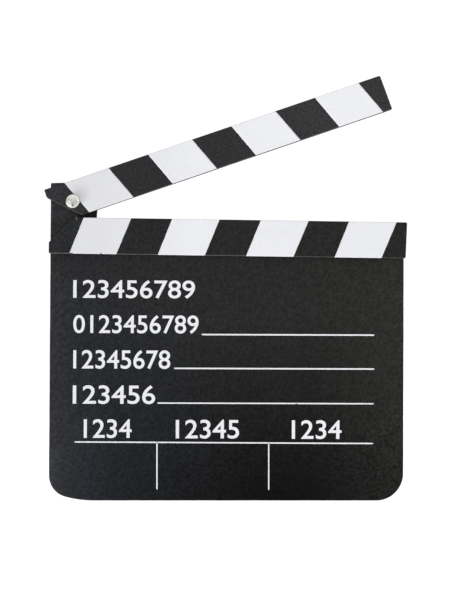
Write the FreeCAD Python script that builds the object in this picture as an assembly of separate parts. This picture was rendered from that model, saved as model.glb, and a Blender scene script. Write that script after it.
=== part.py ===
import FreeCAD, Part
import math
import os

# Small film slate: a painted fibreboard panel with a hinge ear, a fixed striped
# stick along its top edge and a second striped stick that claps down on it,
# turning on a machine screw at the left.
# Frame: X to the right across the slate, Z up, the written face looks towards -Y.
# Origin: middle of the panel's bottom edge face. Units are millimetres.

# ---- driving dimensions -------------------------------------------------------
BOARD_W = 198.2          # panel width
BOARD_T = 4.0            # panel thickness
CORNER_R = 15.3          # bottom right corner radius
CORNER_L = (12.3, 60.0, 74.6)   # bottom left corner: side radius, bottom radius, angle where they meet
ARRIS = 0.4              # sanded edge rounding on all fibreboard pieces

EAR_W = 25.55            # hinge ear, flush with the panel's left edge
EAR_TOP = 177.05         # height of the ear's top edge at its left end
EAR_RISE = 0.95          # how much higher that edge is at its right end
EAR_LEAN = 1.4           # how far the ear's right edge leans outwards at its top

STICK_L = 200.0          # fixed stick length
CLAP_L = 198.66          # swinging stick length, a saw cut shorter
STICK_W = 20.0           # swinging stick width
LOW_UP, LOW_DOWN = 10.15, 10.05   # fixed stick: its edges above and below its middle line
STICK_T = 4.0            # stick thickness
LOW_X, LOW_Z = 0.3, 146.8   # middle of the fixed stick
TILT_DEG = -0.45         # the sticks sit slightly askew on the panel, lower at the right
FLUSH = 0.15             # the panel's top edge lies this far below the fixed stick's
LOW_END = (-0.6, 0.05)   # the fixed stick's right end is cut a little off square: bottom and top corner
CLAP_END = (0.2, -0.2)   # the same on the swinging stick
HEEL = 15.3              # 45 degree cut at the hinge end of the swinging stick
HEEL_LOW = 14.0          # the same cut on the fixed stick
END_R = 0.8              # rounded corners of the square ends
TOE_R = 2.0              # blunter corner above the swinging stick's heel cut

PIVOT_U = 12.95          # pivot distance from the stick's hinge end
PIVOT_V = -1.15          # pivot below the stick's centre line
CLOSE_GAP = 0.05         # paint-thick gap between the closed sticks
OPEN_DEG = 19.78         # how far the stick stands open at rest

SCREW_R = 2.0            # M4 shank
SCREW_L = 16.0           # under the head
HEAD_R = 3.9             # pan head
HEAD_H = 2.8
RECESS_L = 5.0           # cross recess, tip to tip
RECESS_W = 1.05          # cross recess wing width
RECESS_D = 1.6           # cross recess depth
RUN = 0.06               # radial running clearance of the swinging stick
PLAY = 0.05              # end play each side of the swinging stick
EAR_HOLE_R = 2.15
SPACER_R, SPACER_BORE, SPACER_T = 4.4, 2.15, 0.5     # thin washer, ear to stick
REAR_R, REAR_BORE, REAR_T = 4.5, 2.15, 0.8           # plain washer behind the ear
NUT_AF, NUT_H, NUT_HEX_H = 7.0, 5.0, 3.4             # locking nut
RING_R, RING_H = 2.75, 1.3                           # its plastic locking ring

PIN_R, PIN_HEAD_R, PIN_HEAD_T, PIN_L = 0.7, 1.3, 0.5, 7.0   # panel pins
PIN_AT = ((-47.2, 145.9), (46.9, 146.0))   # their places on the fixed stick, X and Z

# ---- derived levels ------------------------------------------------------------
yF = -BOARD_T / 2                    # panel front face
yB = BOARD_T / 2                     # panel back face
xL = -BOARD_W / 2
tilt = math.radians(TILT_DEG)
# pivot in the sticks' own straight frame, and where that lies on the panel
sxL = LOW_X - STICK_L / 2            # fixed stick left end
zT, zU = LOW_Z + LOW_UP, LOW_Z - LOW_DOWN
spX = sxL + PIVOT_U
spZ = zT + CLOSE_GAP + STICK_W / 2 + PIVOT_V
pivX = LOW_X + (spX - LOW_X) * math.cos(tilt) - (spZ - LOW_Z) * math.sin(tilt)
pivZ = LOW_Z + (spX - LOW_X) * math.sin(tilt) + (spZ - LOW_Z) * math.cos(tilt)
clap_y1 = yF - SPACER_T - PLAY       # swinging stick back face
clap_y0 = clap_y1 - STICK_T          # swinging stick front face
head_y = clap_y0 - PLAY              # underside of the screw head
V = FreeCAD.Vector
FRONT = V(0, 1, 0)


def prism(points, y0, y1, radii=None, corners=None):
    """Solid of a closed outline in XZ, from y0 to y1, with some corners rounded or drawn as given edges."""
    radii, corners = radii or {}, corners or {}
    n = len(points)
    edges, last, first = [], None, None
    for i, (x, z) in enumerate(points):
        r = radii.get(i, 0)
        p = V(x, y0, z)
        a = V(points[i - 1][0], y0, points[i - 1][1])
        b = V(points[(i + 1) % n][0], y0, points[(i + 1) % n][1])
        if r:
            ua, ub = (a - p).normalize(), (b - p).normalize()
            half = ua.getAngle(ub) / 2
            d = r / math.tan(half)
            s, e = p + ua * d, p + ub * d
            mid_dir = (ua + ub).normalize()
            c = p + mid_dir * (r / math.sin(half))
            m = c - mid_dir * r
        elif i in corners:
            s, e = corners[i][0].Vertexes[0].Point, corners[i][-1].Vertexes[-1].Point
        else:
            s = e = p
        if last is not None:
            edges.append(Part.LineSegment(last, s).toShape())
        else:
            first = s
        if r:
            edges.append(Part.Arc(s, m, e).toShape())
        edges.extend(corners.get(i, []))
        last = e
    edges.append(Part.LineSegment(last, first).toShape())
    return Part.Face(Part.Wire(edges)).extrude(V(0, y1 - y0, 0))


def rod(r, y0, y1, x=0.0, z=0.0):
    return Part.makeCylinder(r, y1 - y0, V(x, y0, z), FRONT)


def soften(solid, r, faces_y):
    """Rounds the outline edges that lie on the given flat faces."""
    picked = []
    for e in solid.Edges:
        b = e.BoundBox
        if any(abs(b.YMin - y) < 1e-6 and abs(b.YMax - y) < 1e-6 for y in faces_y):
            picked.append(e)
    return solid.makeFillet(r, picked)


def askew(shape):
    """Turns a stick from its straight frame to the way it sits on the panel."""
    shape.rotate(V(LOW_X, 0, LOW_Z), V(0, -1, 0), TILT_DEG)


def panel_top(x):
    return LOW_Z + (x - LOW_X) * math.tan(tilt) + (LOW_UP - FLUSH) / math.cos(tilt)


def out(shape, name):
    shape.exportStep("parts/%s.step" % name)
    print(name, "solids", len(shape.Solids), "volume", round(shape.Volume, 2), "valid", shape.isValid())


os.makedirs("parts", exist_ok=True)

# ---- panel pins: two headed pins, driven through the stick into the panel ------
pins = []
for px, pz in PIN_AT:
    y0 = yF - STICK_T
    pin = rod(PIN_HEAD_R, y0, y0 + PIN_HEAD_T, px, pz)
    pin = pin.fuse(rod(PIN_R, y0 + PIN_HEAD_T, y0 + PIN_L - 1.2, px, pz))
    pin = pin.fuse(Part.makeCone(PIN_R, 0.12, 1.2, V(px, y0 + PIN_L - 1.2, pz), FRONT))
    pins.append(pin.removeSplitter())

# ---- slate panel with its hinge ear ---------------------------------------------
xE = xL + EAR_W
# the left bottom corner is two tangent arcs, tight at the side and flatter along the bottom
r1, r2, turn = CORNER_L[0], CORNER_L[1], math.radians(180 + CORNER_L[2])
c1 = (xL + r1, r2 + (r2 - r1) * math.sin(turn))
c2 = (c1[0] - (r2 - r1) * math.cos(turn), r2)


def on_arc(c, r, a):
    return V(c[0] + r * math.cos(a), yF, c[1] + r * math.sin(a))


corner = [
    Part.Arc(on_arc(c1, r1, math.pi), on_arc(c1, r1, (math.pi + turn) / 2), on_arc(c1, r1, turn)).toShape(),
    Part.Arc(on_arc(c2, r2, turn), on_arc(c2, r2, (turn + 1.5 * math.pi) / 2), on_arc(c2, r2, 1.5 * math.pi)).toShape(),
]
board = prism(
    [(xL, 0), (-xL, 0), (-xL, panel_top(-xL)), (xE, panel_top(xE)), (xE + EAR_LEAN, EAR_TOP + EAR_RISE), (xL, EAR_TOP)],
    yF, yB, {1: CORNER_R, 2: 0.6, 3: 0.8, 4: 1.2, 5: 0.7}, {0: corner})
board = soften(board, ARRIS, (yF, yB))
board = board.cut(rod(EAR_HOLE_R, yF - 1, yB + 1, pivX, pivZ))
for pin in pins:
    board = board.cut(pin)

# ---- fixed stick, glued and pinned on the panel's face ------------------------------
low = prism(
    [(sxL, zU), (sxL + STICK_L + LOW_END[0], zU), (sxL + STICK_L + LOW_END[1], zT), (sxL + HEEL_LOW, zT), (sxL, zT - HEEL_LOW)],
    yF - STICK_T, yF, {0: END_R, 1: END_R, 2: END_R, 3: 0.6, 4: 0.6})
low = soften(low, ARRIS, (yF - STICK_T,))
askew(low)
for pin in pins:
    low = low.cut(pin)

# ---- swinging stick, made closed and then turned open about the pivot -------------------
bz = zT + CLOSE_GAP
sxR = sxL + CLAP_L
clap = prism(
    [(sxL + HEEL, bz), (sxR + CLAP_END[0], bz), (sxR + CLAP_END[1], bz + STICK_W), (sxL, bz + STICK_W), (sxL, bz + HEEL)],
    clap_y0, clap_y1, {0: 0.6, 1: END_R, 2: END_R, 3: END_R, 4: TOE_R})
clap = soften(clap, ARRIS, (clap_y0, clap_y1))
clap = clap.cut(rod(SCREW_R + RUN, clap_y0 - 1, clap_y1 + 1, spX, spZ))
clap.rotate(V(spX, 0, spZ), V(0, -1, 0), OPEN_DEG)
askew(clap)

# ---- pivot screw: domed pan head with a cross recess, straight shank ----------------------
prof_r = HEAD_R
side_h = 1.1                                    # straight rim height
crown = HEAD_H - side_h
p0 = V(0, head_y, 0)
rim0, rim1 = V(prof_r, head_y, 0), V(prof_r, head_y - side_h, 0)
top = V(0, head_y - HEAD_H, 0)
mid = V(prof_r * 0.66, head_y - side_h - crown * 0.66, 0)
wire = Part.Wire([
    Part.LineSegment(p0, rim0).toShape(),
    Part.LineSegment(rim0, rim1).toShape(),
    Part.Arc(rim1, mid, top).toShape(),
    Part.LineSegment(top, p0).toShape(),
])
head = Part.Face(wire).revolve(V(0, 0, 0), FRONT, 360)
cross = None
for ang in (0, 90):
    yt = head_y - HEAD_H
    # each wing: a tapered blade that narrows towards the bottom of the recess
    a, b = RECESS_L / 2, RECESS_L / 2 * 0.45
    blade = Part.Face(Part.makePolygon([
        V(-a, yt - 0.5, 0), V(a, yt - 0.5, 0), V(a * 0.94, yt + 0.5, 0), V(b, yt + RECESS_D, 0),
        V(-b, yt + RECESS_D, 0), V(-a * 0.94, yt + 0.5, 0), V(-a, yt - 0.5, 0)])).extrude(V(0, 0, RECESS_W))
    blade.translate(V(0, 0, -RECESS_W / 2))
    blade.rotate(V(0, 0, 0), FRONT, ang - 3)
    cross = blade if cross is None else cross.fuse(blade)
head = head.cut(cross)
shank_end = head_y + SCREW_L
shank = rod(SCREW_R, head_y, shank_end - 0.5)
tip = Part.makeCone(SCREW_R, SCREW_R - 0.5, 0.5, V(0, shank_end - 0.5, 0), FRONT)
screw = head.fuse(shank).fuse(tip).removeSplitter()
screw.translate(V(pivX, 0, pivZ))

# ---- washers ----------------------------------------------------------------------------
spacer = rod(SPACER_R, yF - SPACER_T, yF, pivX, pivZ).cut(rod(SPACER_BORE, yF - 2, yF + 1, pivX, pivZ))
rear = rod(REAR_R, yB, yB + REAR_T, pivX, pivZ).cut(rod(REAR_BORE, yB - 1, yB + 2, pivX, pivZ))

# ---- locking nut: hexagon with a round collar that grips a plastic ring --------------------
n0 = yB + REAR_T
hexr = NUT_AF / 2 / math.cos(math.pi / 6)
pts = [V(hexr * math.cos(math.radians(60 * k + 12)), n0, hexr * math.sin(math.radians(60 * k + 12))) for k in range(7)]
pts[6] = pts[0]
hexa = Part.Face(Part.makePolygon(pts)).extrude(V(0, NUT_HEX_H, 0))
# turned corners on the bearing side and where the hexagon meets the collar
lim = Part.makeCone(NUT_AF / 2 + 0.02, NUT_AF / 2 + 0.9, 0.55, V(0, n0, 0), FRONT)
lim = lim.fuse(rod(NUT_AF / 2 + 0.9, n0 + 0.55, n0 + NUT_HEX_H - 0.55))
lim = lim.fuse(Part.makeCone(NUT_AF / 2 + 0.9, NUT_AF / 2 + 0.02, 0.55, V(0, n0 + NUT_HEX_H - 0.55, 0), FRONT))
nut = hexa.common(lim)
collar = rod(3.25, n0 + NUT_HEX_H - 0.2, n0 + NUT_H)
collar = collar.makeFillet(0.6, [e for e in collar.Edges if abs(e.BoundBox.YMin - (n0 + NUT_H)) < 1e-6 and abs(e.BoundBox.YMax - (n0 + NUT_H)) < 1e-6])
nut = nut.fuse(collar)
ring_y0 = n0 + NUT_H - 0.25 - RING_H
nut = nut.cut(rod(SCREW_R, n0 - 1, n0 + NUT_H + 1))
nut = nut.cut(rod(RING_R, ring_y0, ring_y0 + RING_H))
nut = nut.cut(rod(2.45, ring_y0, n0 + NUT_H + 1))
nut = nut.removeSplitter()
ring = rod(RING_R, ring_y0, ring_y0 + RING_H).cut(rod(SCREW_R, ring_y0 - 1, ring_y0 + RING_H + 1))
for s in (nut, ring):
    s.translate(V(pivX, 0, pivZ))

out(board, "slate_board")
out(low, "lower_clapstick")
out(clap, "upper_clapstick")
out(screw, "pivot_screw")
out(spacer, "hinge_spacer")
out(rear, "rear_washer")
out(nut, "lock_nut")
out(ring, "nut_locking_ring")
out(Part.makeCompound(pins), "panel_pins")
print("pivot", round(pivX, 3), round(pivZ, 3), "stick y", clap_y0, clap_y1, "head y", head_y)
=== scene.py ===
import math

import bmesh
import bpy
from mathutils import Matrix, Vector
from mathutils.geometry import delaunay_2d_cdt


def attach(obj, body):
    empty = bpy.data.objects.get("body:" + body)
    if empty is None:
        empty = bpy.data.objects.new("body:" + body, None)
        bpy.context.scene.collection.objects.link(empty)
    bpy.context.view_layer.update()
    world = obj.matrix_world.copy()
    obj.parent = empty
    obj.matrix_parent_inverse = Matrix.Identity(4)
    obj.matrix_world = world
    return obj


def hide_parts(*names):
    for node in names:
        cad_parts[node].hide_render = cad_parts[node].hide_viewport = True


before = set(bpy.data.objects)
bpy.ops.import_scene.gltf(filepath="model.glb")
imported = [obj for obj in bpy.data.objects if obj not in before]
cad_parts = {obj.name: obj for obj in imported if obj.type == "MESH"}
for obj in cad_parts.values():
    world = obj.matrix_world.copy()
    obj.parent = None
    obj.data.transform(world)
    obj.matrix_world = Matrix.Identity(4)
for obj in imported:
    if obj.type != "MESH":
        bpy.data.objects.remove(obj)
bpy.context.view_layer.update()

scene = bpy.context.scene
MM = 0.001

# ------------------------------------------------------------------ sizes, millimetres
BOARD_W = 198.2
Y_FRONT, Y_BACK = -2.0, 2.0            # panel faces
EAR_W, EAR_TOP, EAR_RISE, EAR_LEAN = 25.55, 177.05, 0.95, 1.4
CORNER_R, CORNER_L = 15.3, (12.3, 60.0, 74.6)
STICK_W, STICK_L, CLAP_L = 20.0, 200.0, 198.66
LOW_X, LOW_Z, TILT = 0.3, 146.8, math.radians(-0.45)   # the fixed stick's middle; both sticks sit slightly askew
LOW_END, CLAP_END = (-0.6, 0.05), (0.2, -0.2)          # right ends cut a little off square
HEEL, HEEL_LOW, END_R, TOE_R = 15.3, 14.0, 0.8, 2.0
LOW_Y0, LOW_Y1 = -6.0, -2.0            # fixed stick
CLAP_Y0, CLAP_Y1 = -6.55, -2.55        # swinging stick
PIV_X, PIV_Z, PIV_U, PIV_V = -86.598, 166.533, 12.95, -1.15
OPEN = math.radians(19.78 - 0.45)
ARRIS = 0.4
HEAD_Y, HEAD_DX, HEAD_DZ = -6.6, 0.11, -0.24     # under the screw head; the head sits a little off the shank's axis
PINS = ((-47.2, 145.9), (46.9, 146.0))
H = STICK_W / 2                        # half the swinging stick
LOW_UP, LOW_DOWN = 10.15, 10.05        # the fixed stick above and below its middle line


def low_place(u, y, v):
    """Fixed stick's own coordinates, from its middle, to the row frame."""
    return Vector((LOW_X + u * math.cos(TILT) - v * math.sin(TILT), y, LOW_Z + u * math.sin(TILT) + v * math.cos(TILT)))


def low_dir(u, y, v):
    return Vector((u * math.cos(TILT) - v * math.sin(TILT), y, u * math.sin(TILT) + v * math.cos(TILT)))


def low_own(x, z):
    dx, dz = x - LOW_X, z - LOW_Z
    return dx * math.cos(TILT) + dz * math.sin(TILT), -dx * math.sin(TILT) + dz * math.cos(TILT)


def clap_place(u, y, v):
    """Swinging stick's coordinates (u from the hinge end, v from the centre line) to the row frame, open at rest."""
    du, dv = u - PIV_U, v - PIV_V
    return Vector((PIV_X + du * math.cos(OPEN) - dv * math.sin(OPEN), y, PIV_Z + du * math.sin(OPEN) + dv * math.cos(OPEN)))


def clap_dir(u, y, v):
    return Vector((u * math.cos(OPEN) - v * math.sin(OPEN), y, u * math.sin(OPEN) + v * math.cos(OPEN)))


def panel_top(x):
    return LOW_Z + (x - LOW_X) * math.tan(TILT) + (LOW_UP - 0.15) / math.cos(TILT)


# ------------------------------------------------------------------ small helpers
def wob(s, seed, *waves):
    """Smooth repeatable waver along a length: waves are (wavelength, amplitude)."""
    v = 0.0
    for k, (w, a) in enumerate(waves):
        ph = seed * 1.7 + k * 2.3
        v += a * (0.62 * math.sin(2 * math.pi * s / w + ph) + 0.38 * math.sin(2 * math.pi * s / (w * 0.437) + ph * 2.1))
    return v


def new_piece(name, bm, body, mats, smooth=None):
    """Turns a bmesh in millimetres into a shown piece that rides on a body."""
    bmesh.ops.recalc_face_normals(bm, faces=bm.faces[:])
    mesh = bpy.data.meshes.new(name)
    bm.to_mesh(mesh)
    bm.free()
    mesh.transform(Matrix.Scale(MM, 4))
    for m in mats:
        mesh.materials.append(m)
    obj = bpy.data.objects.new(name, mesh)
    scene.collection.objects.link(obj)
    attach(obj, body)
    return obj


def rounded(corners, step=1.6):
    """Closed outline from corners (x, z, radius) or ready-made point lists, counter-clockwise, evenly divided."""
    ends = []
    n = len(corners)
    flat = [c if not isinstance(c, list) else None for c in corners]
    for i, c in enumerate(corners):
        if isinstance(c, list):
            ends.append(c)
            continue
        x, z, r = c
        p = Vector((x, z))

        def at(k, side):
            o = corners[k % n]
            return Vector(o[side] if isinstance(o, list) else o[:2])
        a, b = at(i - 1, -1), at(i + 1, 0)
        if r <= 0:
            ends.append([p])
            continue
        ua, ub = (a - p).normalized(), (b - p).normalized()
        half = ua.angle(ub) / 2
        s, e = p + ua * (r / math.tan(half)), p + ub * (r / math.tan(half))
        c0 = p + (ua + ub).normalized() * (r / math.sin(half))
        a0 = math.atan2(s.y - c0.y, s.x - c0.x)
        a1 = math.atan2(e.y - c0.y, e.x - c0.x)
        d = (a1 - a0 + math.pi) % (2 * math.pi) - math.pi
        k = max(6, int(abs(d) * r / 0.5))
        ends.append([c0 + r * Vector((math.cos(a0 + d * t / k), math.sin(a0 + d * t / k))) for t in range(k + 1)])
    pts = []
    for i, run in enumerate(ends):
        run = [Vector(q) for q in run]
        pts.extend(run)
        nxt = Vector(ends[(i + 1) % n][0])
        gap = nxt - run[-1]
        k = int(gap.length / step)
        pts.extend(run[-1] + gap * (t / k) for t in range(1, k))
    return pts


def normals_of(pts):
    n = len(pts)
    out = []
    for i in range(n):
        a, b = pts[i] - pts[i - 1], pts[(i + 1) % n] - pts[i]
        t = (a.normalized() + b.normalized()).normalized()
        out.append(Vector((t.y, -t.x)))
    return out


def within(p, loop):
    """True where the point lies inside the closed loop of points."""
    hit = False
    for a, b in zip(loop, loop[1:] + loop[:1]):
        if (a.y > p.y) != (b.y > p.y) and p.x < a.x + (b.x - a.x) * (p.y - a.y) / (b.y - a.y):
            hit = not hit
    return hit


def fill(bm, loops):
    """Flat face between an outline and its openings."""
    verts = [v for loop in loops for v in loop]
    flat = [Vector((v.co.x, v.co.z)) for v in verts]
    edges, openings, k = [], [], 0
    for loop in loops:
        n = len(loop)
        edges += [(k + i, k + (i + 1) % n) for i in range(n)]
        openings.append(flat[k:k + n])
        k += n
    out, _, tris, source, _, _ = delaunay_2d_cdt(flat, edges, [], 1, 1e-6)
    for tri in tris:
        mid = sum((out[t] for t in tri), Vector((0.0, 0.0))) / len(tri)
        if not any(within(mid, h) for h in openings[1:]):
            bm.faces.new([verts[source[t][0]] for t in tri]).smooth = False


def slab(name, pts, y0, y1, a0, a1, holes, body, mats, waver=0.0, seed=0, place=None, chips=()):
    """A sheet piece with sanded edges: outline pts, front y0, back y1, edge rounding a0 and a1.
    holes: (x, z, radius, depth or None for right through).
    chips: (outline points, depth) broken out of the front face, in the second material."""
    nor = normals_of(pts)
    n = len(pts)
    s, run = [], 0.0
    for i in range(n):
        s.append(run)
        run += (pts[(i + 1) % n] - pts[i]).length
    base = [pts[i] + nor[i] * (wob(s[i], seed, (31.0, waver), (7.3, waver * 0.45)) - waver * 1.2) for i in range(n)]
    # the sanding is a little uneven along the edge
    sand = [1.0 + wob(s[i], seed + 21, (47.0, 0.10), (11.0, 0.07)) for i in range(n)]
    rings = []
    seg = 5
    for k in range(seg + 1):
        f = math.pi / 2 * k / seg
        rings.append((a0 * (1 - math.sin(f)), y0, a0 * (1 - math.cos(f)), 1.0))
    rings.append((0.0, (y0 + a0) * 0.5 + (y1 - a1) * 0.5, 0.0, 0.0))
    for k in range(seg + 1):
        f = math.pi / 2 * (1 - k / seg)
        rings.append((a1 * (1 - math.sin(f)), y1, -a1 * (1 - math.cos(f)), 1.0))
    bm = bmesh.new()
    V3 = (lambda x, y, z: Vector((x, y, z))) if place is None else place
    loops = []
    for inset, y, dy, w in rings:
        row = []
        for i in range(n):
            q = sand[i] if w else 1.0
            row.append(bm.verts.new(V3(base[i].x - nor[i].x * inset * q, y + dy * q, base[i].y - nor[i].y * inset * q)))
        loops.append(row)
    for q, r in zip(loops, loops[1:]):
        for i in range(n):
            f = bm.faces.new((q[i], q[(i + 1) % n], r[(i + 1) % n], r[i]))
            f.smooth = True
    front_holes, back_holes = [], []
    for hx, hz, hr, depth in holes:
        k = 40
        ring = [(hx + hr * math.cos(2 * math.pi * t / k), hz + hr * math.sin(2 * math.pi * t / k)) for t in range(k)]
        top = [bm.verts.new(V3(x, y0, z)) for x, z in ring]
        low = [bm.verts.new(V3(x, y1 if depth is None else y0 + depth, z)) for x, z in ring]
        for t in range(k):
            f = bm.faces.new((top[t], low[t], low[(t + 1) % k], top[(t + 1) % k]))
            f.smooth = True
        front_holes.append(top)
        if depth is None:
            back_holes.append(low)
        else:
            bm.faces.new(low)
    for outline, depth in chips:
        cx = sum(p[0] for p in outline) / len(outline)
        cz = sum(p[1] for p in outline) / len(outline)
        k = len(outline)
        prev = [bm.verts.new(V3(x, y0, z)) for x, z in outline]
        front_holes.append(prev)
        for m, (f, d) in enumerate(((0.86, 0.45), (0.68, 0.8), (0.42, 1.0), (0.18, 0.9))):
            nxt = []
            for t, (x, z) in enumerate(outline):
                rough = 1.0 + 0.30 * math.sin(t * 2.39 + m * 1.9 + seed)
                nxt.append(bm.verts.new(V3(cx + (x - cx) * f, y0 + depth * d * rough, cz + (z - cz) * f)))
            for t in range(k):
                face = bm.faces.new((prev[t], nxt[t], nxt[(t + 1) % k], prev[(t + 1) % k]))
                face.material_index = 1
            prev = nxt
        bm.faces.new(prev).material_index = 1
    fill(bm, [loops[0]] + front_holes)
    fill(bm, [loops[-1]] + back_holes)
    return new_piece(name, bm, body, mats)


def shell(bm, grid, normal, thick, sink):
    """Closed thin film over a grid of points: grid[i][j] with normal[i][j]."""
    ni, nj = len(grid), len(grid[0])
    top = [[bm.verts.new(grid[i][j] + normal[i][j] * thick) for j in range(nj)] for i in range(ni)]
    low = [[bm.verts.new(grid[i][j] - normal[i][j] * sink) for j in range(nj)] for i in range(ni)]
    for i in range(ni - 1):
        for j in range(nj - 1):
            f = bm.faces.new((top[i][j], top[i + 1][j], top[i + 1][j + 1], top[i][j + 1]))
            f.smooth = True
            bm.faces.new((low[i][j], low[i][j + 1], low[i + 1][j + 1], low[i + 1][j]))
    rim = [(i, 0) for i in range(ni)] + [(ni - 1, j) for j in range(1, nj)]
    rim += [(i, nj - 1) for i in range(ni - 2, -1, -1)] + [(0, j) for j in range(nj - 2, 0, -1)]
    for a, b in zip(rim, rim[1:] + rim[:1]):
        bm.faces.new((top[a[0]][a[1]], low[a[0]][a[1]], low[b[0]][b[1]], top[b[0]][b[1]]))


# ------------------------------------------------------------------ materials
class Tree:
    def __init__(self, name):
        self.mat = bpy.data.materials.new(name)
        self.mat.use_nodes = True
        self.t = self.mat.node_tree
        self.bsdf = self.t.nodes["Principled BSDF"]
        tc = self.t.nodes.new("ShaderNodeTexCoord")
        self.co, self.no = tc.outputs["Object"], tc.outputs["Normal"]

    def link(self, a, b):
        self.t.links.new(a, b)

    def put(self, node, key, v):
        if isinstance(v, bpy.types.NodeSocket):
            self.link(v, node.inputs[key])
        else:
            node.inputs[key].default_value = v

    def noise(self, scale, detail=4.0, rough=0.55, co=None, distort=0.0, lac=2.0):
        n = self.t.nodes.new("ShaderNodeTexNoise")
        self.link(co or self.co, n.inputs["Vector"])
        for k, v in (("Scale", scale), ("Detail", detail), ("Roughness", rough), ("Distortion", distort), ("Lacunarity", lac)):
            n.inputs[k].default_value = v
        return n.outputs["Fac"]

    def voronoi(self, scale, co=None, rand=1.0):
        n = self.t.nodes.new("ShaderNodeTexVoronoi")
        self.link(co or self.co, n.inputs["Vector"])
        n.inputs["Scale"].default_value = scale
        n.inputs["Randomness"].default_value = rand
        return n.outputs["Distance"], n.outputs["Color"]

    def scaled(self, sx, sy, sz):
        n = self.t.nodes.new("ShaderNodeMapping")
        self.link(self.co, n.inputs["Vector"])
        n.inputs["Scale"].default_value = (sx, sy, sz)
        return n.outputs["Vector"]

    def turned(self, angle_y, sx, sy, sz, loc=(0, 0, 0)):
        n = self.t.nodes.new("ShaderNodeMapping")
        self.link(self.co, n.inputs["Vector"])
        n.inputs["Rotation"].default_value = (0, angle_y, 0)
        n.inputs["Scale"].default_value = (sx, sy, sz)
        n.inputs["Location"].default_value = loc
        return n.outputs["Vector"]

    def ramp(self, fac, lo, hi, out_lo=0.0, out_hi=1.0):
        n = self.t.nodes.new("ShaderNodeMapRange")
        n.clamp = True
        self.link(fac, n.inputs["Value"])
        n.inputs["From Min"].default_value, n.inputs["From Max"].default_value = lo, hi
        n.inputs["To Min"].default_value, n.inputs["To Max"].default_value = out_lo, out_hi
        return n.outputs["Result"]

    def math(self, op, a, b=0.0):
        n = self.t.nodes.new("ShaderNodeMath")
        n.operation = op
        self.put(n, 0, a)
        self.put(n, 1, b)
        return n.outputs["Value"]

    def mix(self, fac, a, b):
        n = self.t.nodes.new("ShaderNodeMix")
        n.data_type = "RGBA"
        self.put(n, 0, fac)
        for key, v in ((6, a), (7, b)):
            if isinstance(v, bpy.types.NodeSocket):
                self.link(v, n.inputs[key])
            else:
                n.inputs[key].default_value = (*v, 1.0) if len(v) == 3 else v
        return n.outputs[2]

    def scale(self, col, fac):
        """Colour times a number."""
        n = self.t.nodes.new("ShaderNodeVectorMath")
        n.operation = "SCALE"
        self.put(n, 0, col)
        self.put(n, "Scale", fac)
        return n.outputs["Vector"]

    def product(self, *facs):
        v = facs[0]
        for f in facs[1:]:
            v = self.math("MULTIPLY", v, f)
        return v

    def split(self, vec):
        n = self.t.nodes.new("ShaderNodeSeparateXYZ")
        self.link(vec, n.inputs[0])
        return n.outputs[0], n.outputs[1], n.outputs[2]

    def near(self, x, y, z, r, soft, rough=None, amount=0.0):
        """1 within r of a point (mm), falling to 0 over soft, with a ragged edge."""
        n = self.t.nodes.new("ShaderNodeVectorMath")
        n.operation = "DISTANCE"
        self.link(self.co, n.inputs[0])
        n.inputs[1].default_value = (x * MM, y * MM, z * MM)
        d = n.outputs["Value"]
        if rough is not None:
            d = self.math("ADD", d, self.math("MULTIPLY", self.math("SUBTRACT", rough, 0.5), amount * MM))
        return self.ramp(d, (r + soft) * MM, r * MM)

    def bump(self, parts):
        """parts: (height socket, strength, distance in mm), stacked."""
        prev = None
        for h, strength, dist in parts:
            n = self.t.nodes.new("ShaderNodeBump")
            n.inputs["Strength"].default_value = strength
            n.inputs["Distance"].default_value = dist * MM
            self.link(h, n.inputs["Height"])
            if prev is not None:
                self.link(prev, n.inputs["Normal"])
            prev = n.outputs["Normal"]
        self.link(prev, self.bsdf.inputs["Normal"])

    def set(self, **kw):
        names = {"color": "Base Color", "rough": "Roughness", "metal": "Metallic", "spec": "Specular IOR Level",
                 "coat": "Coat Weight", "coat_rough": "Coat Roughness", "sheen": "Sheen Weight", "ior": "IOR"}
        for k, v in kw.items():
            self.put(self.bsdf, names[k], v if isinstance(v, (bpy.types.NodeSocket, float, int)) else (*v, 1.0))


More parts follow.
